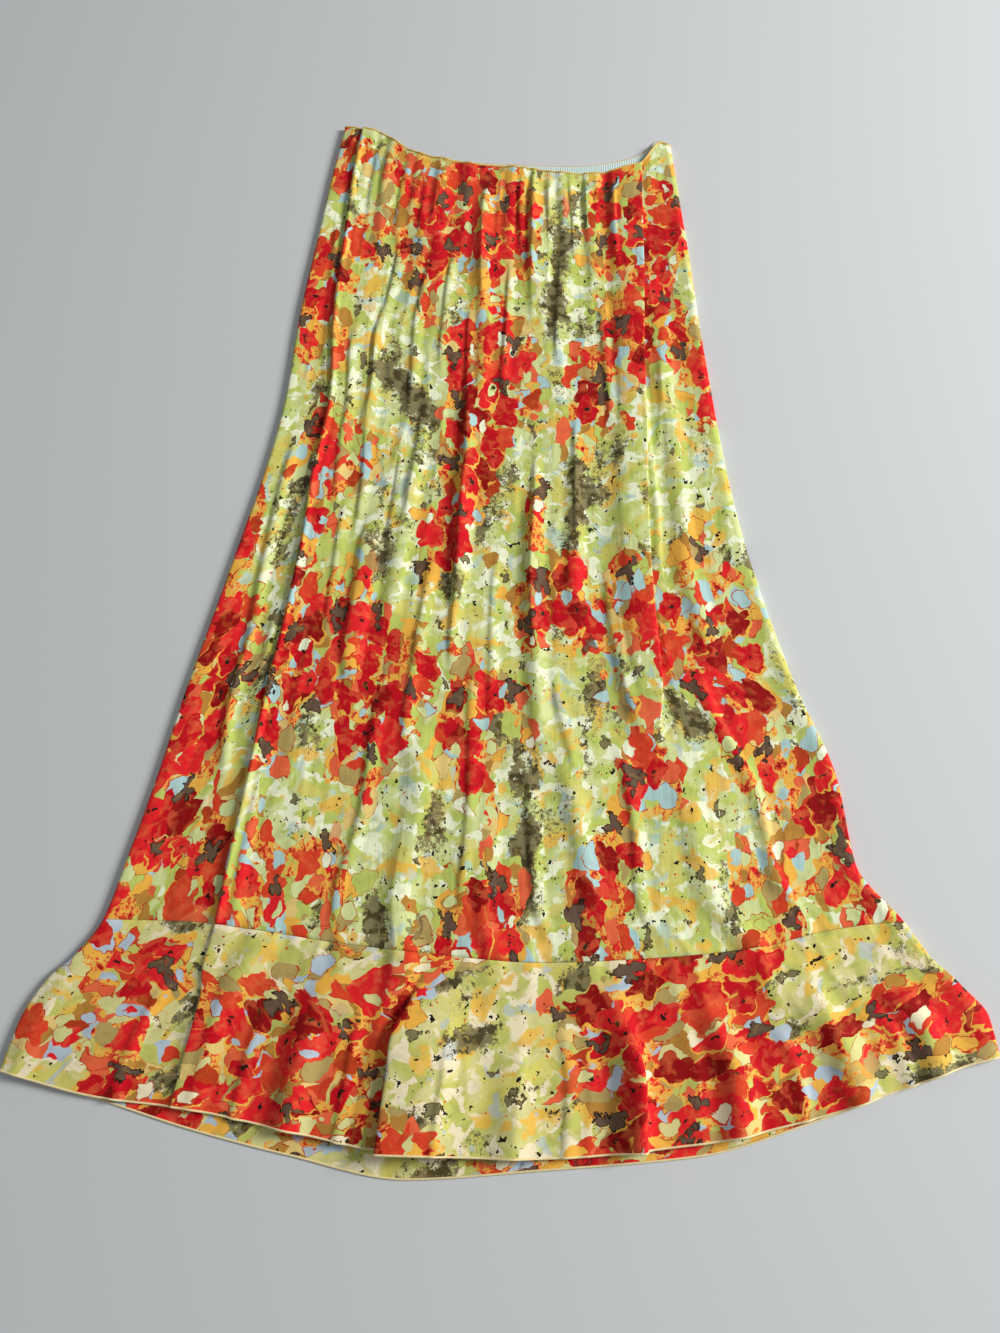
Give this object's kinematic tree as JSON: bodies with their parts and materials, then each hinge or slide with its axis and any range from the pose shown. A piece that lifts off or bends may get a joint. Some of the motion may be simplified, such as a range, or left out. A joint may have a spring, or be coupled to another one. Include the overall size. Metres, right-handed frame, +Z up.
{
  "type": "midi skirt",
  "caption": "Elastic-waist A-line midi skirt with a flounce at the hem, in thin printed crepe, laid out flat with its front up.",
  "frame": {"origin": "under the middle of the laid skirt, on the surface that it lies on", "axes": "+Z up, +Y from the hem to the waist, +X to the right as the front is seen"},
  "size_m": [0.7418, 0.9852, 0.0108],
  "materials": {
    "front_print": "thin matt crepe with a painterly flower print in lime, orange, red, aqua and olive",
    "back_print": "the same printed crepe",
    "front_flounce_print": "the same printed crepe",
    "back_flounce_print": "the same printed crepe",
    "mint_elastic": "matt ribbed elastic, pale mint"
  },
  "bodies": {
    "root": {"front_panel": "front_print", "back_panel": "back_print", "front_flounce": "front_flounce_print", "back_flounce": "back_flounce_print", "waist_elastic": "mint_elastic"}
  },
  "joints": []
}
